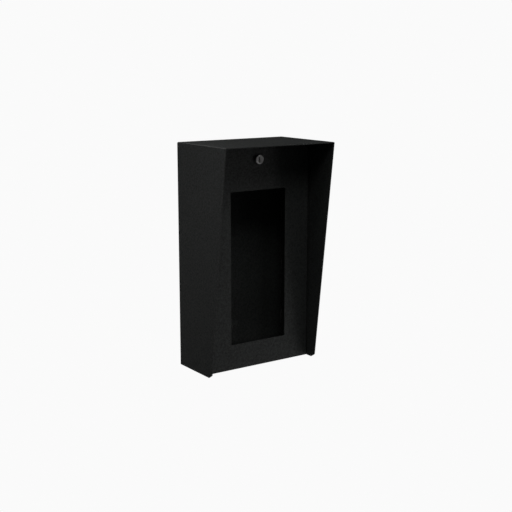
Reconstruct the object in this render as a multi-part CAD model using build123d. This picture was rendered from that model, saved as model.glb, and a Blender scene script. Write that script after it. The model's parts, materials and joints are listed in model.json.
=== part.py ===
from build123d import *
import math
import os

# Wall-mounted ashtray bin: a hooded steel housing with a tilting, locking door that carries an ash pan.
# Millimetres. X runs to the right, Y runs back to the wall, Z runs up.
# The origin is the centre of the four wall bolts, on the back face, at half the housing's height.

# ---------------------------------------------------------------- driving dimensions
HEIGHT = 450.0
WIDTH = 253.0
ROOF_DEPTH = 173.0
BASE_DEPTH = 118.0
SHEET = 2.0
BEND = 2.5                  # outside radius of every bend in the 2 mm sheet
INNER_BEND = 0.5
CORNER_CUT_DEPTH = 10.0     # cut-off front corners at the foot of the side walls
CORNER_CUT_HEIGHT = 7.0

BOLT_SPACING_X = 180.0
BOLT_SPACING_Z = 420.0
BOLT_HOLE_RADIUS = 3.25

DOOR_FACE = 95.0            # from the wall to the door's front
DOOR_SIDE_GAP = 1.5
DOOR_FOOT_GAP = 1.4
DOOR_HEAD_GAP = 2.5
DOOR_RETURN = 15.0
DOOR_TOP_RETURN = 10.0
OPENING_WIDTH = 130.0
OPENING_FOOT = 52.0         # above the base
OPENING_HEAD = 357.0

PIVOT_BEHIND_FACE = 8.0
PIVOT_ABOVE_BASE = 8.0
PIVOT_RADIUS = 2.5
TILT = 45.0
STOP_RADIUS = 32.0          # from the pivot to the stop pin
STOP_ANGLE = 82.0           # of the stop pin, from straight back, turning up
STOP_PIN_RADIUS = 2.5

LOCK_BELOW_TOP = 33.0
LOCK_HEAD_RADIUS = 9.0
LOCK_HEAD_DEPTH = 4.5
BARREL_RADIUS = 8.0
BARREL_LENGTH = 19.9
PLUG_RADIUS = 6.2
RUNNING_GAP = 0.05
CAM_THICKNESS = 2.5
CAM_REACH = 26.0

PAN_SHEET = 1.2
PAN_HALF_WIDTH = 102.0
PAN_FRONT = 91.0            # from the wall
PAN_REAR = 18.0
PAN_FOOT = 6.5              # above the base
PAN_FRONT_RIM = 46.0
PAN_REAR_RIM = 22.0

CRADLE_SHEET = 1.5
BAIL_RADIUS = 2.0
BAIL_HOLE_RADIUS = 2.05

# ---------------------------------------------------------------- derived dimensions
BASE = -HEIGHT / 2
TOP = HEIGHT / 2
WALL_INSIDE = WIDTH / 2 - SHEET
ROOF_INSIDE = TOP - SHEET
DOOR_FRONT = -DOOR_FACE
DOOR_BACK = DOOR_FRONT + SHEET
DOOR_EDGE = WALL_INSIDE - DOOR_SIDE_GAP
DOOR_FOOT = BASE + DOOR_FOOT_GAP
DOOR_HEAD = ROOF_INSIDE - DOOR_HEAD_GAP
FLOOR_TOP = BASE + SHEET
FLOOR_FRONT = -82.0
PIVOT_Y = DOOR_FRONT + PIVOT_BEHIND_FACE
PIVOT_Z = BASE + PIVOT_ABOVE_BASE
STOP_Y = PIVOT_Y + STOP_RADIUS * math.cos(math.radians(STOP_ANGLE))
STOP_Z = PIVOT_Z + STOP_RADIUS * math.sin(math.radians(STOP_ANGLE))
LOCK_Z = TOP - LOCK_BELOW_TOP
BARREL_END = DOOR_FRONT + BARREL_LENGTH
CAM_FRONT = BARREL_END + 0.1
CAM_BACK = CAM_FRONT + CAM_THICKNESS

# Across the width, on each side: door return, bush collar, bracket plate, weld nut, screw head.
RETURN_INSIDE = DOOR_EDGE - SHEET
BUSH_COLLAR = 1.0
BRACKET_OUTSIDE = RETURN_INSIDE - BUSH_COLLAR - 0.1
BRACKET_INSIDE = BRACKET_OUTSIDE - SHEET
PIVOT_NUT_THICKNESS = 4.0
PIVOT_NUT_INSIDE = BRACKET_INSIDE - PIVOT_NUT_THICKNESS
PIVOT_HEAD_INSIDE = PIVOT_NUT_INSIDE - 4.0
PIN_TIP = DOOR_EDGE - 0.2

STUD_X = 109.0
STUD_RADIUS = 2.0
STUD_HEIGHTS = (BASE + 20.0, BASE + 40.0)
RIVET_X = 110.0
RIVET_YS = (-70.0, -58.0)
RIVET_RADIUS = 2.0
BAIL_Y = -54.0
BAIL_Z = BASE + 20.0
BAIL_ARM_X = 107.5
BAIL_BAR_Y = -11.5


# ---------------------------------------------------------------- helpers
def block(x, y, z):
    """A box given by its lowest and highest value along each axis."""
    spans = (x, y, z)
    size = [high - low for low, high in spans]
    centre = [(high + low) / 2 for low, high in spans]
    return Pos(*centre) * Box(*size)


def outline(*points):
    """A flat face inside straight edges."""
    return make_face(Polyline(*points, close=True))


def across(face, x):
    """A (Y, Z) face made solid from the first to the second value of x."""
    return Pos(x[0], 0, 0) * extrude(Plane.YZ * face, amount=x[1] - x[0])


def deep(face, y):
    """An (X, Z) face made solid from the first to the second value of y."""
    return Pos(0, y[1], 0) * extrude(Plane.XZ * face, amount=y[1] - y[0])


def rod_x(radius, x, y, z):
    """A round bar along X, centred on (y, z)."""
    return across(Pos(y, z) * Circle(radius), x)


def rod_y(radius, y, x, z):
    """A round bar along Y, centred on (x, z)."""
    return deep(Pos(x, z) * Circle(radius), y)


def rod_z(radius, z, x, y):
    """A round bar along Z, centred on (x, y)."""
    return Pos(x, y, z[0]) * extrude(Circle(radius), amount=z[1] - z[0])


def hexagon(across_flats):
    """A flat hexagon of the given size across its flats."""
    return RegularPolygon(across_flats / 2, 6, major_radius=False)


def left_of(piece):
    """The same piece mirrored to the left-hand side."""
    return mirror(piece, about=Plane.YZ)


def both_sides(piece):
    """A right-hand piece together with its mirror image."""
    return Compound(children=[piece, left_of(piece)])


def edges_at(piece, axis, x=None, y=None, z=None, slack=0.01):
    """Straight edges along an axis whose centre has the given coordinates."""
    found = []
    for edge in piece.edges().filter_by(axis):
        centre = edge.center()
        wanted = ((x, centre.X), (y, centre.Y), (z, centre.Z))
        if all(value is None or abs(value - place) < slack for value, place in wanted):
            found.append(edge)
    return found


def rim_height(y):
    """Height of the pan's sloping rim at a place between its front and its rear."""
    slope = (PAN_REAR_RIM - PAN_FRONT_RIM) / (PAN_FRONT - PAN_REAR)
    return BASE + PAN_FRONT_RIM + slope * (y + PAN_FRONT)


# ---------------------------------------------------------------- housing
def make_hood_shell():
    """Roof and side walls, folded from one sheet."""
    half = WIDTH / 2
    cut_depth = BASE_DEPTH + (ROOF_DEPTH - BASE_DEPTH) * CORNER_CUT_HEIGHT / HEIGHT
    side = outline(
        (0, BASE),
        (-(BASE_DEPTH - CORNER_CUT_DEPTH), BASE),
        (-cut_depth, BASE + CORNER_CUT_HEIGHT),
        (-ROOF_DEPTH, TOP),
        (0, TOP),
    )
    shell = across(side, (-half, half))
    shell = fillet(edges_at(shell, Axis.Y, z=TOP), BEND)
    inside = block((-WALL_INSIDE, WALL_INSIDE), (-2 * ROOF_DEPTH, ROOF_DEPTH), (2 * BASE, ROOF_INSIDE))
    inside = fillet(edges_at(inside, Axis.Y, z=ROOF_INSIDE), INNER_BEND)
    return shell - inside


def make_back_plate():
    """Flat wall plate with four bolt holes."""
    plate = block((-WALL_INSIDE, WALL_INSIDE), (-SHEET, 0), (BASE, ROOF_INSIDE))
    plate = fillet(edges_at(plate, Axis.Y, z=ROOF_INSIDE), INNER_BEND)
    for x in (-BOLT_SPACING_X / 2, BOLT_SPACING_X / 2):
        for z in (-BOLT_SPACING_Z / 2, BOLT_SPACING_Z / 2):
            plate -= rod_y(BOLT_HOLE_RADIUS, (-2 * SHEET, SHEET), x, z)
    return plate


def bracket_rivet(x, y):
    """Countersunk below the floor, with a formed head above the bracket's foot."""
    head_radius = 2 * RIVET_RADIUS
    foot_top = FLOOR_TOP + SHEET
    sink = Pos(x, y, BASE + SHEET / 2) * Cone(head_radius, RIVET_RADIUS, SHEET)
    shank = rod_z(RIVET_RADIUS, (BASE, foot_top), x, y)
    formed = rod_z(1.75 * RIVET_RADIUS, (foot_top, foot_top + 1.5), x, y)
    formed = fillet(formed.edges().group_by(Axis.Z)[-1], 1.0)
    return sink + shank + formed


def make_bracket_rivets():
    """Four rivets that hold the pivot brackets to the floor."""
    return Compound(children=[bracket_rivet(x, y) for x in (-RIVET_X, RIVET_X) for y in RIVET_YS])


def make_floor_plate():
    """Bottom plate with four drain slots and the rivets' countersinks."""
    slot_length = 34.0
    slot_width = 5.0
    plate = block((-WALL_INSIDE, WALL_INSIDE), (FLOOR_FRONT, -SHEET), (BASE, FLOOR_TOP))
    for x in (-75.0, -25.0, 25.0, 75.0):
        slot = extrude(SlotOverall(slot_length, slot_width), amount=3 * SHEET)
        plate -= Pos(x, FLOOR_FRONT / 2, BASE - SHEET) * slot
    for x in (-RIVET_X, RIVET_X):
        for y in RIVET_YS:
            plate -= bracket_rivet(x, y)
    return plate


def make_pivot_bracket():
    """Right-hand bracket: an upright gusset with a foot on the floor."""
    foot_front = -78.0
    foot_rear = -52.0
    foot_width = 16.0
    edges = [
        *(Pos(PIVOT_Y, PIVOT_Z) * Circle(5.5)).edges(),
        *(Pos(STOP_Y, STOP_Z) * Circle(6.0)).edges(),
        Edge.make_line((foot_rear, FLOOR_TOP), (foot_rear, FLOOR_TOP + 10.0)),
    ]
    upright = across(make_hull(edges), (BRACKET_INSIDE, BRACKET_OUTSIDE))
    foot_x = (BRACKET_OUTSIDE - foot_width, BRACKET_OUTSIDE)
    bracket = upright + block(foot_x, (foot_front, foot_rear), (FLOOR_TOP, FLOOR_TOP + SHEET))
    bracket -= rod_x(PIVOT_RADIUS, (BRACKET_INSIDE - 1, BRACKET_OUTSIDE + 1), PIVOT_Y, PIVOT_Z)
    bracket -= rod_x(STOP_PIN_RADIUS, (BRACKET_INSIDE - 1, BRACKET_OUTSIDE + 1), STOP_Y, STOP_Z)
    for y in RIVET_YS:
        bracket -= bracket_rivet(RIVET_X, y)
    return bracket


def make_pivot_nut():
    """Hexagon weld nut on the inside of the right-hand bracket."""
    nut = across(Pos(PIVOT_Y, PIVOT_Z) * hexagon(8.0), (PIVOT_NUT_INSIDE, BRACKET_INSIDE))
    return nut - rod_x(PIVOT_RADIUS, (PIVOT_NUT_INSIDE - 1, BRACKET_INSIDE + 1), PIVOT_Y, PIVOT_Z)


def make_pivot_screw():
    """Socket screw whose plain point is the door's right-hand pivot."""
    head = rod_x(4.5, (PIVOT_HEAD_INSIDE, PIVOT_NUT_INSIDE), PIVOT_Y, PIVOT_Z)
    head = fillet(head.edges().group_by(Axis.X)[0], 0.5)
    socket = across(Pos(PIVOT_Y, PIVOT_Z) * hexagon(4.0), (PIVOT_HEAD_INSIDE - 1, PIVOT_HEAD_INSIDE + 2.5))
    shank = rod_x(PIVOT_RADIUS, (PIVOT_NUT_INSIDE, PIN_TIP), PIVOT_Y, PIVOT_Z)
    shank = chamfer(shank.edges().group_by(Axis.X)[-1], 0.4)
    return head - socket + shank


def make_stop_pin():
    """Headed pin that runs in the door's right-hand arc slot."""
    head = rod_x(4.0, (BRACKET_INSIDE - 1.5, BRACKET_INSIDE), STOP_Y, STOP_Z)
    head = fillet(head.edges().group_by(Axis.X)[0], 1.0)
    shank = rod_x(STOP_PIN_RADIUS, (BRACKET_INSIDE, PIN_TIP), STOP_Y, STOP_Z)
    return head + shank


def make_keeper_bracket():
    """Strike under the roof: the locked cam lies behind its lip."""
    half = 20.0
    lip_y = (CAM_FRONT - 2.5, CAM_FRONT - 0.5)
    lip_foot = LOCK_Z + 13.0
    lip = block((-half, half), lip_y, (lip_foot, ROOF_INSIDE))
    lip = fillet(edges_at(lip, Axis.Y, z=lip_foot), 4.0)
    leg = block((-half, half), (lip_y[0], lip_y[0] + 20.0), (ROOF_INSIDE - SHEET, ROOF_INSIDE))
    keeper = lip + leg
    return fillet(edges_at(keeper, Axis.X, y=lip_y[0], z=ROOF_INSIDE), BEND - INNER_BEND)


# Door stops: the bumper's face stands a tenth of a millimetre behind the door's side return.
STOP_SHEET = 1.5
STOP_FACE_Y = DOOR_FRONT + DOOR_RETURN + 4.5
STOP_FOOT = TOP - 54.0
STOP_HEAD = TOP - 34.0
BUMPER_X = 118.0
BUMPER_STEM_RADIUS = 2.5


def make_door_stop():
    """Right-hand angle bracket on the side wall, near the top of the door."""
    heights = (STOP_FOOT, STOP_HEAD)
    facing = block((108.0, WALL_INSIDE), (STOP_FACE_Y, STOP_FACE_Y + STOP_SHEET), heights)
    facing = fillet(edges_at(facing, Axis.Y, x=108.0), 4.0)
    leg = block((WALL_INSIDE - STOP_SHEET, WALL_INSIDE), (STOP_FACE_Y, STOP_FACE_Y + 22.0), heights)
    angle = facing + leg
    angle = fillet(edges_at(angle, Axis.Z, x=WALL_INSIDE, y=STOP_FACE_Y), STOP_SHEET)
    middle = (STOP_FOOT + STOP_HEAD) / 2
    return angle - rod_y(BUMPER_STEM_RADIUS, (STOP_FACE_Y - 1, STOP_FACE_Y + 5), BUMPER_X, middle)


def make_door_bumper():
    """Right-hand rubber button with a stem and a barb behind the bracket."""
    middle = (STOP_FOOT + STOP_HEAD) / 2
    back_of_stop = STOP_FACE_Y + STOP_SHEET
    button_front = DOOR_FRONT + DOOR_RETURN + 0.1
    button = rod_y(5.0, (button_front, STOP_FACE_Y), BUMPER_X, middle)
    button = fillet(button.edges().group_by(Axis.Y)[0], 1.2)
    stem = rod_y(BUMPER_STEM_RADIUS, (STOP_FACE_Y, back_of_stop), BUMPER_X, middle)
    barb = Pos(BUMPER_X, back_of_stop + 1.5, middle) * Rot(90, 0, 0) * Cone(1.4, 3.4, 3.0)
    return button + stem + barb


# ---------------------------------------------------------------- door
def stop_ear():
    """Sector on the foot of the right-hand return, which holds the arc slot."""
    reach = STOP_RADIUS + 7.0
    low = math.radians(STOP_ANGLE - TILT - 13.0)
    high = math.radians(90.0)
    middle = (low + high) / 2
    points = [
        (PIVOT_Y + reach * math.cos(angle), PIVOT_Z + reach * math.sin(angle))
        for angle in (low, middle, high)
    ]
    rim = ThreePointArc(*points)
    sides = Polyline(points[2], (PIVOT_Y, PIVOT_Z), points[0])
    return across(make_face([rim, *sides.edges()]), (RETURN_INSIDE, DOOR_EDGE))


def stop_slot():
    """Arc slot round the pivot; its two ends are the closed and the tilted position."""
    path = CenterArc((PIVOT_Y, PIVOT_Z), STOP_RADIUS, STOP_ANGLE - TILT, TILT)
    slot = SlotArc(path, 2 * STOP_PIN_RADIUS + 1.0)
    return across(slot, (RETURN_INSIDE - 1, DOOR_EDGE + 1))


def lock_hole():
    """Round hole with two flats that keeps the barrel from turning."""
    flat = 6.9
    barrel = rod_y(BARREL_RADIUS, (DOOR_FRONT - 1, DOOR_BACK + 1), 0, LOCK_Z)
    return barrel & block((-flat, flat), (DOOR_FRONT - 2, DOOR_BACK + 2), (LOCK_Z - 10, LOCK_Z + 10))


def make_door_panel():
    """Front panel with side and top returns, the opening, the lock hole and the arc slots."""
    return_back = DOOR_FRONT + DOOR_RETURN
    panel = block((-DOOR_EDGE, DOOR_EDGE), (DOOR_FRONT, return_back), (DOOR_FOOT, DOOR_HEAD))
    front_edges = edges_at(panel, Axis.Z, y=DOOR_FRONT) + edges_at(panel, Axis.X, y=DOOR_FRONT, z=DOOR_HEAD)
    panel = fillet(front_edges, BEND)
    hollow_head = DOOR_HEAD - SHEET
    hollow = block((-RETURN_INSIDE, RETURN_INSIDE), (DOOR_BACK, 0), (2 * BASE, hollow_head))
    back_edges = edges_at(hollow, Axis.Z, y=DOOR_BACK) + edges_at(hollow, Axis.X, y=DOOR_BACK, z=hollow_head)
    panel -= fillet(back_edges, INNER_BEND)

    relief = RETURN_INSIDE - 2.0
    top_return_back = DOOR_FRONT + DOOR_TOP_RETURN
    panel -= block((-relief, relief), (top_return_back, 0), (DOOR_HEAD - 2 * SHEET, TOP))
    for side in (-1, 1):
        notch = sorted((side * relief, side * RETURN_INSIDE))
        panel -= block(notch, (DOOR_BACK + 1, 0), (DOOR_HEAD - 2 * SHEET, TOP))
        foot = sorted((side * (RETURN_INSIDE - 1), side * (DOOR_EDGE + 1)))
        panel -= block(foot, (DOOR_BACK, 0), (BASE, BASE + 3.0))

    ear = stop_ear()
    slot = stop_slot()
    bush_hole = rod_x(4.0, (RETURN_INSIDE - 1, DOOR_EDGE + 1), PIVOT_Y, PIVOT_Z)
    panel += ear
    panel += left_of(ear)
    panel -= slot
    panel -= left_of(slot)
    panel -= bush_hole
    panel -= left_of(bush_hole)

    half = OPENING_WIDTH / 2
    opening_z = (BASE + OPENING_FOOT, BASE + OPENING_HEAD)
    panel -= block((-half, half), (DOOR_FRONT - 1, DOOR_BACK + 1), opening_z)
    return panel - lock_hole()


def make_pivot_bush():
    """Right-hand nylon bush in the door's return, with a collar on the bracket's side."""
    sleeve = rod_x(4.0, (RETURN_INSIDE, DOOR_EDGE), PIVOT_Y, PIVOT_Z)
    collar = rod_x(5.4, (RETURN_INSIDE - BUSH_COLLAR, RETURN_INSIDE), PIVOT_Y, PIVOT_Z)
    bore = rod_x(PIVOT_RADIUS + RUNNING_GAP, (RETURN_INSIDE - 2, DOOR_EDGE + 1), PIVOT_Y, PIVOT_Z)
    return sleeve + collar - bore


# Cradle: its shelf carries the pan, and its back leg is bolted to studs on the door.
CRADLE_SHELF_HALF = 104.0
CRADLE_EAR_HALF = 114.0
CRADLE_SHELF_TOP = BASE + PAN_FOOT
CRADLE_SHELF_FOOT = CRADLE_SHELF_TOP - CRADLE_SHEET
CRADLE_LEG_TOP = BASE + 47.0
CRADLE_LIP_TOP = BASE + 15.0
CRADLE_REAR = -14.5


def make_pan_cradle():
    """Shelf with a leg on the door's back and low lips round the pan."""
    leg_back = DOOR_BACK + CRADLE_SHEET
    shelf_half = (-CRADLE_SHELF_HALF, CRADLE_SHELF_HALF)
    shelf = block(shelf_half, (DOOR_BACK, CRADLE_REAR), (CRADLE_SHELF_FOOT, CRADLE_SHELF_TOP))
    leg = block(shelf_half, (DOOR_BACK, leg_back), (CRADLE_SHELF_FOOT, CRADLE_LEG_TOP))
    ears = block((-CRADLE_EAR_HALF, CRADLE_EAR_HALF), (DOOR_BACK, leg_back), (BASE + 14.0, CRADLE_LEG_TOP))
    ears = fillet(ears.edges().filter_by(Axis.Y), 3.0)
    rear_lip_y = (CRADLE_REAR - CRADLE_SHEET, CRADLE_REAR)
    rear_lip = block(shelf_half, rear_lip_y, (CRADLE_SHELF_FOOT, CRADLE_LIP_TOP))
    cradle = shelf + leg + ears + rear_lip
    for side in (-1, 1):
        lip_x = sorted((side * (CRADLE_SHELF_HALF - CRADLE_SHEET), side * CRADLE_SHELF_HALF))
        cradle += block(lip_x, (-86.0, -22.0), (CRADLE_SHELF_FOOT, CRADLE_LIP_TOP))
    lower_bends = edges_at(cradle, Axis.X, z=CRADLE_SHELF_FOOT)
    cradle = fillet([edge for edge in lower_bends if edge.length > CRADLE_SHELF_HALF], CRADLE_SHEET)
    for x in (-STUD_X, STUD_X):
        for z in STUD_HEIGHTS:
            cradle -= rod_y(STUD_RADIUS, (DOOR_BACK - 1, leg_back + 1), x, z)
    for x in (-60.0, 0.0, 60.0):
        drain = extrude(SlotOverall(40.0, 8.0), amount=3 * CRADLE_SHEET)
        cradle -= Pos(x, -50.0, CRADLE_SHELF_FOOT - CRADLE_SHEET) * drain
    return cradle


def make_cradle_studs():
    """Four threaded studs welded to the door's back."""
    studs = []
    for x in (-STUD_X, STUD_X):
        for z in STUD_HEIGHTS:
            stud = rod_y(STUD_RADIUS, (DOOR_BACK, DOOR_BACK + 6.5), x, z)
            studs.append(chamfer(stud.edges().group_by(Axis.Y)[-1], 0.4))
    return Compound(children=studs)


def make_cradle_nuts():
    """Four hexagon nuts on the studs."""
    nuts = []
    nut_front = DOOR_BACK + CRADLE_SHEET
    for x in (-STUD_X, STUD_X):
        for z in STUD_HEIGHTS:
            nut = deep(Pos(x, z) * hexagon(7.0), (nut_front, nut_front + 3.2))
            nuts.append(nut - rod_y(STUD_RADIUS, (nut_front - 1, nut_front + 4), x, z))
    return Compound(children=nuts)


# ---------------------------------------------------------------- lock
def make_lock_body():
    """Round head, threaded barrel with two flats, and the plug's bore."""
    thread_depth = 0.45
    pitch = 1.5
    face = DOOR_FRONT - LOCK_HEAD_DEPTH
    head = rod_y(LOCK_HEAD_RADIUS, (face, DOOR_FRONT), 0, LOCK_Z)
    head = fillet(head.edges().group_by(Axis.Y)[0], 0.8)
    barrel = rod_y(BARREL_RADIUS, (DOOR_FRONT, BARREL_END), 0, LOCK_Z)
    groove_start = DOOR_BACK + 5.5
    for turn in range(int((BARREL_END - groove_start) / pitch)):
        middle = groove_start + (turn + 0.5) * pitch
        groove_y = (middle - pitch / 4, middle + pitch / 4)
        ring = rod_y(BARREL_RADIUS + 1, groove_y, 0, LOCK_Z)
        barrel -= ring - rod_y(BARREL_RADIUS - thread_depth, groove_y, 0, LOCK_Z)
    flat = 6.9
    barrel &= block((-flat, flat), (DOOR_FRONT, BARREL_END), (LOCK_Z - 10, LOCK_Z + 10))
    bore = rod_y(PLUG_RADIUS + RUNNING_GAP, (face - 1, BARREL_END + 1), 0, LOCK_Z)
    mouth = rod_y(PLUG_RADIUS + 0.6, (face - 1, face + 0.4), 0, LOCK_Z)
    return head + barrel - bore - mouth


def keyway_face():
    """Upright slot with three round wards, as seen from the front."""
    face = Pos(0, LOCK_Z) * Rectangle(1.2, 10.8)
    for z in (-4.0, 0.0, 4.0):
        face += Pos(0, LOCK_Z + z) * Circle(1.3)
    return face


TANG_HALF = 3.5
KEYWAY_DEPTH = 15.0
CAM_SCREW_RADIUS = 2.0
PLUG_FACE = DOOR_FRONT - LOCK_HEAD_DEPTH + 0.2
WAFER_THICKNESS = 0.8


def make_lock_plug():
    """Turning core with the keyway in front and a square tang behind."""
    plug = rod_y(PLUG_RADIUS, (PLUG_FACE, BARREL_END), 0, LOCK_Z)
    plug = fillet(plug.edges().group_by(Axis.Y)[0], 0.3)
    tang_z = (LOCK_Z - TANG_HALF, LOCK_Z + TANG_HALF)
    plug += block((-TANG_HALF, TANG_HALF), (BARREL_END, CAM_BACK), tang_z)
    plug -= deep(keyway_face(), (PLUG_FACE - 1, PLUG_FACE + KEYWAY_DEPTH))
    return plug - rod_y(CAM_SCREW_RADIUS, (CAM_BACK - 8.0, CAM_BACK + 1), 0, LOCK_Z)


def make_lock_wafers():
    """Five brass wafers across the keyway, alternately in its upper and its lower half."""
    wafers = []
    for number in range(5):
        front = PLUG_FACE + 2.0 + 2.4 * number
        low = LOCK_Z + (0.6 if number % 2 else -4.8)
        half_keyway = block((-2, 2), (front, front + WAFER_THICKNESS), (low, low + 4.2))
        wafers.append(deep(keyway_face(), (front, front + WAFER_THICKNESS)) & half_keyway)
    return Compound(children=wafers)


def make_lock_washer():
    """Flat ring between the door's back and the lock nut."""
    ring_y = (DOOR_BACK, DOOR_BACK + 1.0)
    return rod_y(11.0, ring_y, 0, LOCK_Z) - rod_y(BARREL_RADIUS + 0.1, ring_y, 0, LOCK_Z)


def make_lock_nut():
    """Thin hexagon nut on the barrel."""
    nut_y = (DOOR_BACK + 1.0, DOOR_BACK + 5.0)
    nut = deep(Pos(0, LOCK_Z) * hexagon(21.0), nut_y)
    cone = Pos(0, (nut_y[0] + nut_y[1]) / 2, LOCK_Z) * Rot(90, 0, 0) * Cone(11.2, 13.2, 4.0)
    return (nut & cone) - rod_y(BARREL_RADIUS, (nut_y[0] - 1, nut_y[1] + 1), 0, LOCK_Z)


def make_lock_cam():
    """Flat lever, pointing sideways when unlocked, on the plug's square tang."""
    tip_radius = 6.0
    edges = [
        *(Pos(0, LOCK_Z) * Circle(BARREL_RADIUS)).edges(),
        *(Pos(CAM_REACH - tip_radius, LOCK_Z) * Circle(tip_radius)).edges(),
    ]
    cam = deep(make_hull(edges), (CAM_FRONT, CAM_BACK))
    square_z = (LOCK_Z - TANG_HALF, LOCK_Z + TANG_HALF)
    return cam - block((-TANG_HALF, TANG_HALF), (CAM_FRONT - 1, CAM_BACK + 1), square_z)


def make_cam_washer():
    """Toothed lock washer under the cam screw."""
    washer_y = (CAM_BACK, CAM_BACK + 0.8)
    washer = rod_y(5.6, washer_y, 0, LOCK_Z)
    teeth = 12
    for tooth in range(teeth):
        angle = 2 * math.pi * tooth / teeth
        notch_x = 5.6 * math.cos(angle)
        notch_z = LOCK_Z + 5.6 * math.sin(angle)
        washer -= rod_y(0.6, washer_y, notch_x, notch_z)
    return washer - rod_y(CAM_SCREW_RADIUS, washer_y, 0, LOCK_Z)


def make_cam_screw():
    """Pan-head cross-slot screw into the plug's tang."""
    head_y = (CAM_BACK + 0.8, CAM_BACK + 3.6)
    head = rod_y(4.2, head_y, 0, LOCK_Z)
    head = fillet(head.edges().group_by(Axis.Y)[-1], 1.2)
    for long_x, long_z in ((2.4, 0.5), (0.5, 2.4)):
        slot_z = (LOCK_Z - long_z, LOCK_Z + long_z)
        head -= block((-long_x, long_x), (head_y[1] - 1.5, head_y[1] + 1), slot_z)
    return head + rod_y(CAM_SCREW_RADIUS, (CAM_BACK - 7.0, head_y[0]), 0, LOCK_Z)


# ---------------------------------------------------------------- ash pan
def pan_profile(front, rear, foot, drop=0.0):
    """Side view between two depths from the wall, under the sloping rim or lower by drop."""
    return outline(
        (-front, foot),
        (-rear, foot),
        (-rear, rim_height(-rear) - drop),
        (-front, rim_height(-front) - drop),
    )


def make_ash_pan():
    """Open tray with a sloping rim and two holes for the bail."""
    foot = BASE + PAN_FOOT
    tray = across(pan_profile(PAN_FRONT, PAN_REAR, foot), (-PAN_HALF_WIDTH, PAN_HALF_WIDTH))
    tray = fillet(tray.edges().filter_by(Axis.Z), 6.0)
    inside_half = PAN_HALF_WIDTH - PAN_SHEET
    hollow = pan_profile(PAN_FRONT - PAN_SHEET, PAN_REAR + PAN_SHEET, foot + PAN_SHEET, -20.0)
    hollow = across(hollow, (-inside_half, inside_half))
    tray -= fillet(hollow.edges().filter_by(Axis.Z), 6.0 - PAN_SHEET)
    return tray - rod_x(BAIL_HOLE_RADIUS, (-PAN_HALF_WIDTH - 1, PAN_HALF_WIDTH + 1), BAIL_Y, BAIL_Z)


def make_stub_plate():
    """Sloping plate on the pan's rim: stubbing holes behind, drop slots in front, locating tabs."""
    thickness = PAN_SHEET
    front = PAN_FRONT - 0.5
    rear = PAN_REAR + 0.5
    half = PAN_HALF_WIDTH - 0.5
    cut_z = (BASE, BASE + 60.0)
    footprint = RectangleRounded(2 * half, front - rear, 5.5)
    plate = Pos(0, -(front + rear) / 2, cut_z[0]) * extrude(footprint, amount=cut_z[1] - cut_z[0])
    plate &= across(pan_profile(front + 1, rear - 1, BASE - 1, -thickness), (-half - 1, half + 1))
    plate -= across(pan_profile(front + 2, rear - 2, BASE - 2), (-half - 2, half + 2))
    for x in (-62.0, 0.0, 62.0):
        slot = extrude(SlotOverall(50.0, 14.0), amount=cut_z[1] - cut_z[0])
        plate -= Pos(x, -74.0, cut_z[0]) * slot
    for column in range(-6, 7):
        for y in (-57.0, -44.0, -31.0):
            plate -= rod_z(3.0, cut_z, 14.0 * column, y)
    tab_clearance = PAN_SHEET + 0.5
    for x in (-80.0, 80.0):
        front_tab = (-PAN_FRONT + tab_clearance, -PAN_FRONT + tab_clearance + thickness)
        rear_tab = (-PAN_REAR - tab_clearance - thickness, -PAN_REAR - tab_clearance)
        for tab_y in (front_tab, rear_tab):
            under = rim_height(tab_y[1])
            plate += block((x - 8, x + 8), tab_y, (under - 6.0, under + thickness / 2))
    return plate


def make_pan_bail():
    """Wire bail, lying back: pivots in the pan's walls, arms outside, bar behind the pan."""
    end_x = PAN_HALF_WIDTH - PAN_SHEET - 2.2
    route = FilletPolyline(
        (end_x, BAIL_Y, BAIL_Z),
        (BAIL_ARM_X, BAIL_Y, BAIL_Z),
        (BAIL_ARM_X, BAIL_BAR_Y, BAIL_Z),
        (-BAIL_ARM_X, BAIL_BAR_Y, BAIL_Z),
        (-BAIL_ARM_X, BAIL_Y, BAIL_Z),
        (-end_x, BAIL_Y, BAIL_Z),
        radius=3.4,
    )
    return sweep(Plane((end_x, BAIL_Y, BAIL_Z), z_dir=(1, 0, 0)) * Circle(BAIL_RADIUS), route)


def make_bail_washer():
    """Push-on retainer on the bail's right-hand end, inside the pan."""
    wall = PAN_HALF_WIDTH - PAN_SHEET
    ring_x = (wall - 1.2, wall - 0.2)
    return rod_x(4.5, ring_x, BAIL_Y, BAIL_Z) - rod_x(BAIL_RADIUS, ring_x, BAIL_Y, BAIL_Z)


# ---------------------------------------------------------------- export
pivot_bracket = make_pivot_bracket()
door_stop = make_door_stop()

nodes = {
    "hood_shell": make_hood_shell(),
    "back_plate": make_back_plate(),
    "floor_plate": make_floor_plate(),
    "pivot_bracket_left": left_of(pivot_bracket),
    "pivot_bracket_right": pivot_bracket,
    "bracket_rivets": make_bracket_rivets(),
    "pivot_nuts": both_sides(make_pivot_nut()),
    "pivot_screws": both_sides(make_pivot_screw()),
    "stop_pins": both_sides(make_stop_pin()),
    "keeper_bracket": make_keeper_bracket(),
    "door_stop_left": left_of(door_stop),
    "door_stop_right": door_stop,
    "door_bumpers": both_sides(make_door_bumper()),
    "door_panel": make_door_panel(),
    "pivot_bushes": both_sides(make_pivot_bush()),
    "pan_cradle": make_pan_cradle(),
    "cradle_studs": make_cradle_studs(),
    "cradle_nuts": make_cradle_nuts(),
    "lock_body": make_lock_body(),
    "lock_washer": make_lock_washer(),
    "lock_nut": make_lock_nut(),
    "lock_plug": make_lock_plug(),
    "lock_wafers": make_lock_wafers(),
    "lock_cam": make_lock_cam(),
    "cam_washer": make_cam_washer(),
    "cam_screw": make_cam_screw(),
    "ash_pan": make_ash_pan(),
    "stub_plate": make_stub_plate(),
    "pan_bail": make_pan_bail(),
    "bail_washers": both_sides(make_bail_washer()),
}

os.makedirs("parts", exist_ok=True)
for name, solid in nodes.items():
    export_step(solid, f"parts/{name}.step")
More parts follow.
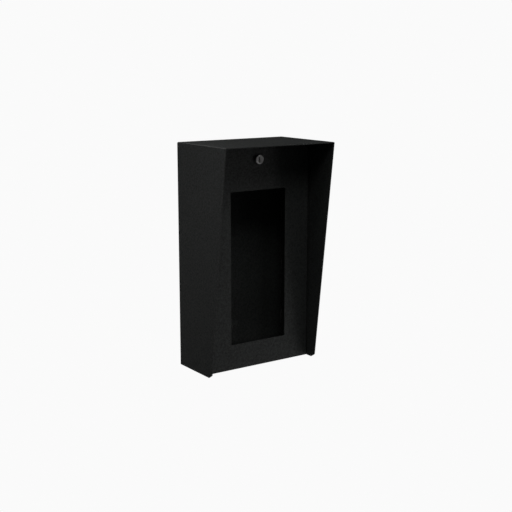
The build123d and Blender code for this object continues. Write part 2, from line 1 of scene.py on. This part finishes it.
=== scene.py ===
import json
import math

import bmesh
import bpy
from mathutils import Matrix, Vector


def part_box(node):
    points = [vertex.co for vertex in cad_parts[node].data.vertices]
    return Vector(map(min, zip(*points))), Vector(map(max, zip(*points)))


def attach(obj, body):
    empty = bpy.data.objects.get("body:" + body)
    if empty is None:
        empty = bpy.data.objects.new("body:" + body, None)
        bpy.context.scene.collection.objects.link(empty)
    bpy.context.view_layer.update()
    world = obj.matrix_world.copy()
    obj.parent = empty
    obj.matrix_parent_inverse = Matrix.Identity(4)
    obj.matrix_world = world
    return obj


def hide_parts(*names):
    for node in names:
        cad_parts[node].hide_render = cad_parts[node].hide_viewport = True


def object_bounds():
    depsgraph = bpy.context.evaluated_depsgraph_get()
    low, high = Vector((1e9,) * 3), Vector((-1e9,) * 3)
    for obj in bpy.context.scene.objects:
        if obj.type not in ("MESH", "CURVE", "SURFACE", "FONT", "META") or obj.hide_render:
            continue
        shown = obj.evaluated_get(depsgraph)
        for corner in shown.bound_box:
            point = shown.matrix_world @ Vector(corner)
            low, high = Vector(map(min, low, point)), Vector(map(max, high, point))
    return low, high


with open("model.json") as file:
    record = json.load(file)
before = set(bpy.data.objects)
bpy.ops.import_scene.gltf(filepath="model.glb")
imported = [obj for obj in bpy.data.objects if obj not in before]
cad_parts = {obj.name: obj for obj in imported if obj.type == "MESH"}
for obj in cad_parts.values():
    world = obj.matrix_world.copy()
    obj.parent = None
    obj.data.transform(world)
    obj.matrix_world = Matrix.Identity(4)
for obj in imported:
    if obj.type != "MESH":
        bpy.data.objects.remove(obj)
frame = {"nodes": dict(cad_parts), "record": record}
cad_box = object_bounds()

MM = 0.001
BACKGROUND = 0.957          # linear value of the pale surroundings
FLOOR_HALF_SIDE = 40.0
FLOOR_DROP = 0.9            # from the object's lowest point to the floor

# The camera's place, from the angle at which the object is seen.
CAMERA_AZIMUTH = math.radians(-34.72)
CAMERA_ELEVATION = math.radians(11.3)
SENSOR_WIDTH = 36.0         # millimetres, as is the lens
CAMERA_LENS = 68.44
CAMERA_DISTANCE = 4.302     # in heights of the object
CAMERA_SHIFT = -0.001       # of the image's width

SOFTBOX_DISTANCE = 2.4
SMALL = 0.45                # sides of the two sizes of soft box
LARGE = 1.2
# Name, azimuth and elevation in degrees, size, and power in watts.
SOFTBOXES = (
    ("front_above", 0, 45, SMALL, 4.5),
    ("front_left_above", -30, 45, SMALL, 4.4),
    ("front_left_high", -30, 52, SMALL, 10.1),
    ("front_right_high", 45, 52, SMALL, 10.3),
    ("left_high", -60, 60, SMALL, 8.0),
    ("left_above", -90, 45, LARGE, 6.0),
    ("left_level", -120, 5, LARGE, 5.4),
    ("right_above", 90, 30, LARGE, 6.0),
    ("right_level", 60, 5, LARGE, 4.2),
    ("back_above", 180, 45, LARGE, 6.0),
    ("front_left_floor", -30, -35, LARGE, 1.8),
    ("front_right_floor", 30, -35, LARGE, 1.6),
    ("right_floor", 60, -35, LARGE, 3.5),
    ("left_floor", -90, -35, LARGE, 2.0),
    ("back_floor", 180, -20, LARGE, 2.0),
    ("front_level", -5, -8, LARGE, 0.4),
)

# How far the edges of each kind of piece are rounded, and which edges are.
SHEET_ROUNDING = 0.35 * MM
HARDWARE_ROUNDING = 0.18 * MM
LOCK_ROUNDING = 0.12 * MM
WAFER_ROUNDING = 0.06 * MM
STUD_ROUNDING = 0.06 * MM
ROUNDING_SEGMENTS = 2
SHARP_ANGLE = math.radians(32)
# Points nearer than this become one, and so do faces that meet at a smaller angle.
SAME_POINT = 0.002 * MM
SAME_PLANE = math.radians(0.4)

LOCK_SEGMENTS = 96          # of a turn
STUD_SEGMENTS = 40
RIM_STEPS = 6               # of the quarter turn of the lock's rolled rim
BEAD_STEPS = 6              # of the quarter turn across a weld bead

SHEET_NODES = (
    "hood_shell", "back_plate", "floor_plate", "pivot_bracket_left", "pivot_bracket_right",
    "keeper_bracket", "door_stop_left", "door_stop_right", "door_panel", "pan_cradle",
    "ash_pan", "stub_plate",
)
HARDWARE_NODES = (
    "bracket_rivets", "pivot_nuts", "pivot_screws", "stop_pins", "door_bumpers", "pivot_bushes",
    "cradle_nuts", "lock_washer", "lock_nut", "lock_plug", "lock_cam", "cam_washer", "cam_screw",
    "pan_bail", "bail_washers",
)


# ---------------------------------------------------------------- node helpers
class Nodes:
    """A material's node tree, with short ways to add and join nodes."""

    # Places of the Mix node's colour sockets.
    MIX_FIRST = 6
    MIX_SECOND = 7
    MIX_RESULT = 2

    def __init__(self, name):
        self.material = bpy.data.materials.new(name)
        self.material.use_nodes = True
        self.tree = self.material.node_tree
        self.tree.nodes.clear()
        self.output = self.add("ShaderNodeOutputMaterial")
        self.place = self.add("ShaderNodeTexCoord").outputs["Object"]

    def add(self, kind, **values):
        """A new node of a kind, with some of its settings."""
        node = self.tree.nodes.new(kind)
        for key, value in values.items():
            setattr(node, key, value)
        return node

    def join(self, source, target):
        """Links an output to an input, or sets the input to a plain value."""
        if isinstance(source, (int, float, tuple)):
            target.default_value = source
        else:
            self.tree.links.new(source, target)

    def noise(self, size, detail=2.0, roughness=0.5, stretch=(1, 1, 1)):
        """Noise whose features are about size metres across, stretched along an axis."""
        mapping = self.add("ShaderNodeMapping")
        mapping.inputs["Scale"].default_value = [1.0 / s for s in stretch]
        self.join(self.place, mapping.inputs["Vector"])
        texture = self.add("ShaderNodeTexNoise")
        self.join(mapping.outputs["Vector"], texture.inputs["Vector"])
        self.join(1.0 / size, texture.inputs["Scale"])
        self.join(detail, texture.inputs["Detail"])
        self.join(roughness, texture.inputs["Roughness"])
        return texture.outputs["Fac"]

    def cells(self, size):
        """Voronoi cells about size metres across."""
        texture = self.add("ShaderNodeTexVoronoi")
        self.join(self.place, texture.inputs["Vector"])
        self.join(1.0 / size, texture.inputs["Scale"])
        return texture.outputs

    def scale(self, source, low, high, new_low, new_high):
        """The source's range low to high mapped to new_low to new_high."""
        node = self.add("ShaderNodeMapRange", clamp=True)
        self.join(source, node.inputs["Value"])
        limits = {"From Min": low, "From Max": high, "To Min": new_low, "To Max": new_high}
        for name, value in limits.items():
            self.join(value, node.inputs[name])
        return node.outputs["Result"]

    def spread(self, noise, new_low, new_high):
        """A noise's usual range mapped to new_low to new_high."""
        return self.scale(noise, 0.3, 0.7, new_low, new_high)

    def maths(self, operation, first, second):
        """The result of one arithmetic operation."""
        node = self.add("ShaderNodeMath", operation=operation)
        self.join(first, node.inputs[0])
        self.join(second, node.inputs[1])
        return node.outputs["Value"]

    def blend(self, factor, first, second):
        """A colour between first and second."""
        node = self.add("ShaderNodeMix", data_type="RGBA")
        self.join(factor, node.inputs["Factor"])
        self.join(first, node.inputs[self.MIX_FIRST])
        self.join(second, node.inputs[self.MIX_SECOND])
        return node.outputs[self.MIX_RESULT]

    def bump(self, height, distance, strength=1.0, normal=None):
        """A normal bent by a height of up to distance metres."""
        node = self.add("ShaderNodeBump")
        self.join(height, node.inputs["Height"])
        self.join(distance, node.inputs["Distance"])
        self.join(strength, node.inputs["Strength"])
        if normal is not None:
            self.join(normal, node.inputs["Normal"])
        return node.outputs["Normal"]

    def edges(self, width):
        """1 on sharp outer edges, falling to 0 about width metres away from them."""
        alike = 0.995               # the normals' dot product away from edges
        apart = 0.75                # and on them
        bevel = self.add("ShaderNodeBevel", samples=4)
        self.join(width, bevel.inputs["Radius"])
        geometry = self.add("ShaderNodeNewGeometry")
        dot = self.add("ShaderNodeVectorMath", operation="DOT_PRODUCT")
        self.join(bevel.outputs["Normal"], dot.inputs[0])
        self.join(geometry.outputs["Normal"], dot.inputs[1])
        return self.scale(dot.outputs["Value"], alike, apart, 0.0, 1.0)

    def surface(self, color, roughness, metallic=0.0, normal=None, **inputs):
        """The finished material with its shader; more inputs go by their names."""
        shader = self.add("ShaderNodeBsdfPrincipled")
        self.join(color, shader.inputs["Base Color"])
        self.join(roughness, shader.inputs["Roughness"])
        self.join(metallic, shader.inputs["Metallic"])
        if normal is not None:
            self.join(normal, shader.inputs["Normal"])
        for name, value in inputs.items():
            self.join(value, shader.inputs[name.replace("_", " ")])
        self.join(shader.outputs["BSDF"], self.output.inputs["Surface"])
        return self.material


def grey(value, warmth=0.0):
    """A linear grey, a little warmer where warmth is above 0 and cooler below."""
    return (value * (1 + warmth), value, value * (1 - warmth), 1.0)


# ---------------------------------------------------------------- materials
def powder_coat():
    """Black polyester powder coat with a fine texture, thin and worn at the sheet's edges."""
    n = Nodes("black_powder_coat")
    grain = n.noise(0.7 * MM, detail=2.0, roughness=0.55)
    pores = n.cells(1.6 * MM)["Distance"]
    mottle = n.noise(3.6 * MM, detail=5.0, roughness=0.75)
    cloud = n.noise(80 * MM, detail=2.0)
    wear = n.scale(n.noise(3 * MM, 4.0), 0.45, 0.68, 0.0, 0.8)
    edge = n.maths("MULTIPLY", n.edges(0.5 * MM), wear)
    dark = (0.0081, 0.0086, 0.0084, 1.0)
    pale = (0.0203, 0.0228, 0.0216, 1.0)
    bare = grey(0.05, 0.02)
    mottle_range = (0.32, 0.68)
    body = n.blend(n.scale(mottle, *mottle_range, 0.0, 1.0), dark, pale)
    color = n.blend(n.maths("MULTIPLY", edge, 0.35), body, bare)
    rough = n.scale(mottle, *mottle_range, 0.58, 0.43)
    rough = n.maths("ADD", rough, n.spread(cloud, -0.03, 0.03))
    gloss = n.scale(mottle, *mottle_range, 0.28, 0.56)
    waves = n.noise(160 * MM, 1.0)
    normal = n.bump(waves, 0.9 * MM, 0.5)
    normal = n.bump(pores, 0.10 * MM, 0.45, normal)
    normal = n.bump(grain, 0.11 * MM, 0.6, normal)
    return n.surface(color, rough, normal=normal, Specular_IOR_Level=gloss)


def plated_metal(name, value, warmth, rough, stretch=(1, 1, 1), grain=0.5 * MM):
    """Bare or plated metal with fine drawn lines or grain, smudges and worn bright edges."""
    n = Nodes(name)
    smudged = grey(value * 0.88, warmth)
    clean = grey(value, warmth)
    lined = grey(value * 0.7, warmth)
    worn = grey(min(value * 1.25, 0.95), warmth)
    lines = n.noise(grain, detail=3.0, roughness=0.6, stretch=stretch)
    smudge = n.noise(11 * MM, detail=3.0)
    edge = n.edges(0.3 * MM)
    body = n.blend(n.spread(smudge, 0.0, 1.0), smudged, clean)
    body = n.blend(n.spread(lines, 0.0, 0.25), body, lined)
    color = n.blend(n.maths("MULTIPLY", edge, 0.45), body, worn)
    roughness = n.spread(lines, rough - 0.04, rough + 0.05)
    roughness = n.maths("ADD", roughness, n.spread(smudge, -0.03, 0.05))
    return n.surface(color, roughness, metallic=1.0, normal=n.bump(lines, 0.006 * MM, 0.5))


def keyway_metal():
    """Turned nickel on the plug's face, with grime and painted shade inside its keyway and round its
    mouth.
    """
    n = Nodes("turned_nickel")
    low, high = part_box("lock_plug")
    place = n.add("ShaderNodeSeparateXYZ")
    n.join(n.place, place.inputs["Vector"])
    depth = n.maths("SUBTRACT", place.outputs["Y"], low.y)
    aside = n.maths("ABSOLUTE", place.outputs["X"], 0.0)
    along = n.maths("SUBTRACT", place.outputs["Z"], (low.z + high.z) / 2)
    along = n.maths("ABSOLUTE", along, 0.0)
    # Painted shade: the keyway darkens with depth, standing in for the shade inside it; the added
    # roughness stands for grime.
    inside = n.scale(depth, 0.25 * MM, 1.2 * MM, 0.0, 1.0)
    in_front = n.scale(depth, 17 * MM, 19 * MM, 1.0, 0.0)
    grime_and_painted_shade = n.maths("MULTIPLY", inside, in_front)
    # Round the mouth, a dark halo that is partly grime and partly the painted shadow of the keyway's
    # chamfer.
    mouth_grime_and_shade = n.scale(aside, 0.9 * MM, 2.0 * MM, 0.7, 0.0)
    mouth_grime_and_shade = n.maths("MULTIPLY", mouth_grime_and_shade, n.scale(along, 5.2 * MM, 6.0 * MM, 1.0, 0.0))
    grime_and_painted_shade = n.maths("MAXIMUM", grime_and_painted_shade, n.maths("MULTIPLY", mouth_grime_and_shade, in_front))
    brush = n.noise(0.22 * MM, detail=2.0, stretch=(30, 1, 1))
    metal = n.blend(n.spread(brush, 0.0, 1.0), grey(0.46, 0.01), grey(0.55, 0.01))
    metal = n.blend(n.maths("MULTIPLY", n.edges(0.25 * MM), 0.6), metal, grey(0.8, 0.01))
    # Near-black colour of the grime and the painted shade in and round the keyway.
    color = n.blend(grime_and_painted_shade, metal, grey(0.018, 0.05))
    rough = n.maths("ADD", n.spread(brush, 0.30, 0.38), n.maths("MULTIPLY", grime_and_painted_shade, 0.35))
    return n.surface(color, rough, metallic=1.0, normal=n.bump(brush, 0.004 * MM, 0.5))


def galvanised():
    """Zinc-dipped sheet with spangles of different brightness."""
    n = Nodes("galvanised_sheet")
    spangle = n.cells(9 * MM)
    tone = n.add("ShaderNodeSeparateColor")
    n.join(spangle["Color"], tone.inputs["Color"])
    fine = n.noise(1.2 * MM, 3.0)
    body = n.blend(tone.outputs["Red"], grey(0.40, -0.03), grey(0.58, -0.02))
    color = n.blend(n.scale(fine, 0.35, 0.75, 0.0, 0.4), body, grey(0.68, -0.01))
    rough = n.scale(tone.outputs["Green"], 0.0, 1.0, 0.32, 0.5)
    return n.surface(color, rough, metallic=1.0, normal=n.bump(fine, 0.03 * MM, 0.4))


def rubber():
    """Moulded black rubber with a dull bloom."""
    n = Nodes("moulded_rubber")
    bloom = n.noise(4 * MM, 4.0)
    color = n.blend(n.scale(bloom, 0.35, 0.7, 0.0, 1.0), grey(0.018), grey(0.040, 0.02))
    rough = n.spread(bloom, 0.7, 0.9)
    normal = n.bump(n.noise(0.5 * MM, 2.0), 0.04 * MM, 0.5)
    return n.surface(color, rough, normal=normal)


def nylon():
    """Natural nylon, slightly waxy and translucent."""
    n = Nodes("natural_nylon")
    cloud = n.noise(3 * MM, 3.0)
    color = n.blend(cloud, (0.66, 0.62, 0.52, 1.0), (0.76, 0.73, 0.66, 1.0))
    rough = n.spread(cloud, 0.38, 0.5)
    normal = n.bump(n.noise(0.4 * MM, 2.0), 0.02 * MM, 0.4)
    return n.surface(color, rough, normal=normal, Subsurface_Weight=0.15, Subsurface_Scale=1.0 * MM)


def make_materials():
    """One material for each of the record's material slots."""
    brushed = (90, 1, 1)        # lines along the width
    drawn = (14, 14, 1)         # lines along the wire, which runs both ways in a level plane
    fine = 0.3 * MM
    return {
        "black_powder": powder_coat(),
        "lock_nickel": plated_metal("nickel_plate", 0.64, 0.01, 0.33),
        "plug_nickel": keyway_metal(),
        "wafer_brass": plated_metal("stamped_brass", 0.16, 0.30, 0.42),
        "zinc_steel": plated_metal("zinc_plate", 0.50, -0.015, 0.33, grain=0.4 * MM),
        "galvanised_sheet": galvanised(),
        "stainless_sheet": plated_metal("brushed_stainless", 0.47, 0.012, 0.34, brushed, fine),
        "stainless_wire": plated_metal("drawn_stainless", 0.50, 0.012, 0.28, drawn, fine),
        "bumper_rubber": rubber(),
        "bush_nylon": nylon(),
    }


def dress_nodes():
    """Gives every CAD node its slot's material."""
    for part in subparts.values():
        node = frame["nodes"][part["node"]]
        for slot in node.material_slots:
            slot.material = materials[part["material_slot"]]


# ---------------------------------------------------------------- pieces
def place_piece(name, mesh, body, slot, *replaced):
    """A piece that rides on a body, has a slot's finish and may stand for CAD nodes."""
    for polygon in mesh.polygons:
        polygon.use_smooth = True
    piece = bpy.data.objects.new(name, mesh)
    bpy.context.scene.collection.objects.link(piece)
    mesh.materials.append(materials[slot])
    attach(piece, body)
    if replaced:
        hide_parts(*replaced)
    return piece


def round_edges(piece, width):
    """Rounds the sharp edges and keeps the flat faces flat."""
    bevel = piece.modifiers.new("rounding", "BEVEL")
    bevel.width = width
    bevel.segments = ROUNDING_SEGMENTS
    bevel.limit_method = "ANGLE"
    bevel.angle_limit = SHARP_ANGLE
    bevel.miter_outer = "MITER_ARC"
    weighted = piece.modifiers.new("flat_faces", "WEIGHTED_NORMAL")
    weighted.keep_sharp = True


def rounded_copy(name, width):
    """The CAD node's own shape with rounded edges, which stands for it."""
    source = frame["nodes"][name].data
    points = [vertex.co for vertex in source.vertices]
    faces = [tuple(polygon.vertices) for polygon in source.polygons]
    mesh = bpy.data.meshes.new(name + "_rounded")
    mesh.from_pydata(points, [], faces)
    shape = bmesh.new()
    shape.from_mesh(mesh)
    bmesh.ops.remove_doubles(shape, verts=shape.verts, dist=SAME_POINT)
    bmesh.ops.dissolve_limit(shape, angle_limit=SAME_PLANE, verts=shape.verts, edges=shape.edges)
    shape.to_mesh(mesh)
    shape.free()
    part = subparts[name]
    piece = place_piece(name + "_rounded", mesh, body_of[name], part["material_slot"], name)
    round_edges(piece, width)


def join_rings(shape, rings):
    """Faces between neighbouring rings of points."""
    for near, far in zip(rings, rings[1:]):
        for step in range(len(near)):
            after = (step + 1) % len(near)
            shape.faces.new((near[step], near[after], far[after], far[step]))


def cap_ends(shape, first, last):
    """Flat faces that close the two ends of a row of rings."""
    shape.faces.new(list(reversed(first)))
    shape.faces.new(last)


def turned_point(shape, axis, radius, y, turn, flat=math.inf):
    """A point round a line along Y, kept between two flats where there are any."""
    x = radius * math.cos(2 * math.pi * turn)
    z = radius * math.sin(2 * math.pi * turn)
    x = max(-flat, min(flat, x))
    return shape.verts.new((axis.x + x, y, axis.z + z))


def turned_rings(shape, axis, profile, segments, flat=math.inf):
    """A turned surface round a line along Y; the profile holds pairs of radius and place."""
    rings = []
    for radius, y in profile:
        turns = [step / segments for step in range(segments)]
        rings.append([turned_point(shape, axis, radius, y, turn, flat) for turn in turns])
    join_rings(shape, rings)
    return rings


def screw_thread(shape, axis, first, last, radius, pitch, depth, flat=math.inf):
    """A helical thread between two rings; its root rises to the surface at both ends."""
    segments = len(first)
    length = last[0].co.y - first[0].co.y
    turns = int(length / pitch) - 1
    start = first[0].co.y + (length - (turns + 1) * pitch) / 2
    steps = turns * segments
    root = []
    crest = []
    for step in range(steps + segments + 1):
        turn = step / segments
        y = start + pitch * turn
        fade = max(0.0, min(1.0, turn - 1, turns - turn))
        root.append(turned_point(shape, axis, radius - depth * fade, y, turn, flat))
        if step <= steps:
            crest.append(turned_point(shape, axis, radius, y + pitch / 2, turn, flat))
    for step in range(steps):
        ahead = step + segments
        shape.faces.new((root[step], root[step + 1], crest[step + 1], crest[step]))
        shape.faces.new((crest[step], crest[step + 1], root[ahead + 1], root[ahead]))
    end = root[steps:]
    for step in range(segments - 1):
        shape.faces.new((first[step], first[step + 1], root[step + 1], root[step]))
        shape.faces.new((end[step], end[step + 1], last[step + 1], last[step]))
    shape.faces.new((first[-1], first[0], root[0], crest[0], root[segments], root[segments - 1]))
    shape.faces.new((end[-2], end[-1], crest[-1], end[0], last[0], last[-1]))


def finish_mesh(name, shape):
    """A mesh from the edited shape, with its faces turned outwards."""
    bmesh.ops.recalc_face_normals(shape, faces=shape.faces)
    mesh = bpy.data.meshes.new(name)
    shape.to_mesh(mesh)
    shape.free()
    return mesh


def make_lock_case():
    """Round head with a rolled rim and a stepped mouth, and a threaded barrel with two flats."""
    low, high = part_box("lock_body")
    axis = (low + high) / 2
    head = (high.x - low.x) / 2
    face = low.y
    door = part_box("door_panel")[0].y
    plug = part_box("lock_plug")
    bore = (plug[1].x - plug[0].x) / 2 + 0.05 * MM
    barrel = 8.0 * MM
    half_flats = 6.9 * MM
    plain_neck = 2.2 * MM
    chamfer = 0.7 * MM
    pitch = 1.5 * MM
    thread_depth = 0.8 * MM
    rim = 0.9 * MM
    undercut = head - 0.25 * MM
    mouth = [(bore, face + 0.45 * MM), (bore + 0.5 * MM, face + 0.42 * MM)]
    mouth += [(bore + 0.55 * MM, face + 0.12 * MM), (bore + 0.7 * MM, face)]
    rolled = []
    for step in range(RIM_STEPS + 1):
        angle = math.radians(90) * step / RIM_STEPS
        rolled.append((head - rim * (1 - math.sin(angle)), face + rim * (1 - math.cos(angle))))
    foot = [(head, door - 0.7 * MM), (undercut, door - 0.45 * MM), (undercut, door)]
    plain = [(barrel, door), (barrel, door + plain_neck)]
    end = [(barrel, high.y - chamfer), (barrel - chamfer, high.y)]
    shape = bmesh.new()
    front = turned_rings(shape, axis, mouth + rolled + foot, LOCK_SEGMENTS)
    neck = turned_rings(shape, axis, plain, LOCK_SEGMENTS, half_flats)
    tail = turned_rings(shape, axis, end, LOCK_SEGMENTS, half_flats)
    back = turned_rings(shape, axis, [(bore, high.y)], LOCK_SEGMENTS)
    screw_thread(shape, axis, neck[-1], tail[0], barrel, pitch, thread_depth, half_flats)
    join_rings(shape, [front[-1], neck[0]])
    join_rings(shape, [tail[-1], back[0], front[0]])
    mesh = finish_mesh("lock_case", shape)
    piece = place_piece("lock_case", mesh, "door", "lock_nickel", "lock_body")
    round_edges(piece, LOCK_ROUNDING)


def make_threaded_studs():
    """Four weld studs with a real thread above a plain foot."""
    low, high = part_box("cradle_studs")
    radius = 2.0 * MM
    pitch = 0.7 * MM
    thread_depth = 0.38 * MM
    plain_foot = 0.9 * MM
    plain = [(radius, low.y), (radius, low.y + plain_foot)]
    end = [(radius, high.y - 0.4 * MM), (radius - 0.45 * MM, high.y)]
    shape = bmesh.new()
    for x in (low.x + radius, high.x - radius):
        for z in (low.z + radius, high.z - radius):
            axis = Vector((x, 0, z))
            foot = turned_rings(shape, axis, plain, STUD_SEGMENTS)
            tip = turned_rings(shape, axis, end, STUD_SEGMENTS)
            screw_thread(shape, axis, foot[-1], tip[0], radius, pitch, thread_depth)
            cap_ends(shape, foot[0], tip[-1])
    mesh = finish_mesh("threaded_studs", shape)
    piece = place_piece("threaded_studs", mesh, "door", "zinc_steel", "cradle_studs")
    round_edges(piece, STUD_ROUNDING)


def weld_bead(shape, start, end, along_one, along_other, leg):
    """A rippled bead in an inside corner; its legs lie along the two sheets."""
    ripple = 1.5 * MM
    ripple_share = 0.12         # of the leg's length
    step_length = 0.35 * MM
    fewest_steps = 12
    end_share = 1 / 14          # of the run, over which the bead grows at each end
    blunt = 0.06                # how much of its section it has at its very ends
    hollow = 0.16               # how far its face is drawn in, as a share of the leg
    sink = -0.15 * MM           # how far it reaches into the sheets
    run = end - start
    steps = max(fewest_steps, round(run.length / step_length))
    rings = []
    for step in range(steps + 1):
        share = step / steps
        wave = (share * run.length / ripple) % 1.0
        size = leg * (1 - ripple_share + ripple_share * math.sqrt(1 - wave * wave))
        size *= math.sqrt(max(blunt, min(1.0, share / end_share, (1 - share) / end_share)))
        centre = start + run * share
        ring = [shape.verts.new(centre + (along_one + along_other) * sink)]
        for number in range(BEAD_STEPS + 1):
            angle = math.radians(90) * number / BEAD_STEPS
            reach = size * (1 - hollow * math.sin(2 * angle))
            one = along_one * (reach * math.cos(angle) + sink)
            other = along_other * (reach * math.sin(angle) + sink)
            ring.append(shape.verts.new(centre + one + other))
        rings.append(ring)
    join_rings(shape, rings)
    cap_ends(shape, rings[0], rings[-1])


def make_weld_beads():
    """Stitch welds inside the housing: back plate and floor to the hood, and the small brackets."""
    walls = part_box("back_plate")
    back = walls[0].y
    roof = walls[1].z
    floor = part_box("floor_plate")[1].z
    left = Vector((-1, 0, 0))
    right = Vector((1, 0, 0))
    forward = Vector((0, -1, 0))
    up = Vector((0, 0, 1))
    down = Vector((0, 0, -1))
    stitch = 24 * MM
    leg = 2.6 * MM
    keeper_leg = 1.8 * MM
    stop_leg = 1.4 * MM
    upright_stitches = (-170 * MM, -60 * MM, 50 * MM, 150 * MM)
    deep_stitches = (-46 * MM, -30 * MM)
    wide_stitches = (-82 * MM, 58 * MM)
    shape = bmesh.new()
    for x, inward in ((walls[0].x, right), (walls[1].x, left)):
        for z in upright_stitches:
            start = Vector((x, back, z))
            weld_bead(shape, start, start + up * stitch, forward, inward, leg)
        for y in deep_stitches:
            start = Vector((x, y, floor))
            weld_bead(shape, start, start - forward * stitch / 2, up, inward, leg)
    for x in wide_stitches:
        for z, inward in ((roof, down), (floor, up)):
            start = Vector((x, back, z))
            weld_bead(shape, start, start + right * stitch, forward, inward, leg)
    low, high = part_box("keeper_bracket")
    for x, outward in ((low.x, left), (high.x, right)):
        start = Vector((x, low.y + 5 * MM, roof))
        end = Vector((x, high.y - 2 * MM, roof))
        weld_bead(shape, start, end, outward, down, keeper_leg)
    for name, inward in (("door_stop_left", right), ("door_stop_right", left)):
        low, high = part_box(name)
        wall = low.x if inward is right else high.x
        for z, away in ((low.z, down), (high.z, up)):
            start = Vector((wall, low.y + 6 * MM, z))
            end = Vector((wall, high.y - 2 * MM, z))
            weld_bead(shape, start, end, inward, away, stop_leg)
    mesh = finish_mesh("weld_beads", shape)
    place_piece("weld_beads", mesh, "housing", "black_powder")


def make_pieces():
    """Every visible piece: rounded copies of the CAD shapes, and those with threads or welds."""
    for name in SHEET_NODES:
        rounded_copy(name, SHEET_ROUNDING)
    for name in HARDWARE_NODES:
        rounded_copy(name, HARDWARE_ROUNDING)
    rounded_copy("lock_wafers", WAFER_ROUNDING)
    make_lock_case()
    make_threaded_studs()
    make_weld_beads()


# ---------------------------------------------------------------- surroundings
def camera_only(thing):
    """Shown to the camera, without lighting the object or being mirrored in it."""
    thing.visible_diffuse = False
    thing.visible_glossy = False
    thing.visible_transmission = False
    thing.visible_shadow = False


def make_surroundings():
    """Plain pale floor, far below a wall-mounted object, under a sky of the same tone."""
    world = bpy.data.worlds.new("pale_surroundings")
    world.use_nodes = True
    world.node_tree.nodes["Background"].inputs["Color"].default_value = grey(BACKGROUND)
    world.cycles_visibility.diffuse = False
    world.cycles_visibility.glossy = False
    world.cycles_visibility.transmission = False
    bpy.context.scene.world = world
    bpy.context.scene.view_settings.view_transform = "Standard"

    level = cad_box[0].z - FLOOR_DROP
    shape = bmesh.new()
    corners = []
    for x, y in ((-1, -1), (1, -1), (1, 1), (-1, 1)):
        corners.append(shape.verts.new((x * FLOOR_HALF_SIDE, y * FLOOR_HALF_SIDE, level)))
    shape.faces.new(corners)
    mesh = bpy.data.meshes.new("floor")
    shape.to_mesh(mesh)
    shape.free()
    floor = bpy.data.objects.new("floor", mesh)
    bpy.context.scene.collection.objects.link(floor)
    pale = Nodes("pale_floor")
    glow = pale.add("ShaderNodeEmission")
    pale.join(grey(BACKGROUND), glow.inputs["Color"])
    pale.join(glow.outputs["Emission"], pale.output.inputs["Surface"])
    mesh.materials.append(pale.material)
    camera_only(floor)


def soft_light(name, azimuth, elevation, size, power, centre):
    """A square softbox that faces the object from an angle; azimuth 0 is straight in front."""
    a = math.radians(azimuth)
    e = math.radians(elevation)
    towards = Vector((math.sin(a) * math.cos(e), -math.cos(a) * math.cos(e), math.sin(e)))
    data = bpy.data.lights.new(name, "AREA")
    data.shape = "SQUARE"
    data.size = size
    data.energy = power
    light = bpy.data.objects.new(name, data)
    light.location = centre + towards * SOFTBOX_DISTANCE
    light.rotation_mode = "QUATERNION"
    light.rotation_quaternion = towards.to_track_quat("Z", "Y")
    light.visible_camera = False
    bpy.context.scene.collection.objects.link(light)


def make_lights():
    """Soft boxes all round the object, with weak ones below for the light that a floor gives back."""
    centre = (cad_box[0] + cad_box[1]) / 2
    for name, azimuth, elevation, size, power in SOFTBOXES:
        soft_light(name, azimuth, elevation, size, power, centre)


def make_camera():
    """Camera at the front left, a little above."""
    centre = (cad_box[0] + cad_box[1]) / 2
    height = cad_box[1].z - cad_box[0].z
    back = Vector((
        math.sin(CAMERA_AZIMUTH) * math.cos(CAMERA_ELEVATION),
        -math.cos(CAMERA_AZIMUTH) * math.cos(CAMERA_ELEVATION),
        math.sin(CAMERA_ELEVATION),
    ))
    data = bpy.data.cameras.new("camera")
    data.lens = CAMERA_LENS
    data.sensor_width = SENSOR_WIDTH
    data.shift_y = CAMERA_SHIFT
    camera = bpy.data.objects.new("camera", data)
    camera.location = centre + back * CAMERA_DISTANCE * height
    camera.rotation_mode = "QUATERNION"
    camera.rotation_quaternion = (-back).to_track_quat("-Z", "Y")
    bpy.context.scene.collection.objects.link(camera)
    bpy.context.scene.camera = camera


# What the record says of each node, and the materials by slot; the functions above use them.
record = frame["record"]
subparts = {part["node"]: part for part in record["subparts"]}
body_of = {name: body for body, names in record["behaviour"]["bodies"].items() for name in names}
materials = make_materials()

make_camera()
make_surroundings()
make_lights()
dress_nodes()
make_pieces()
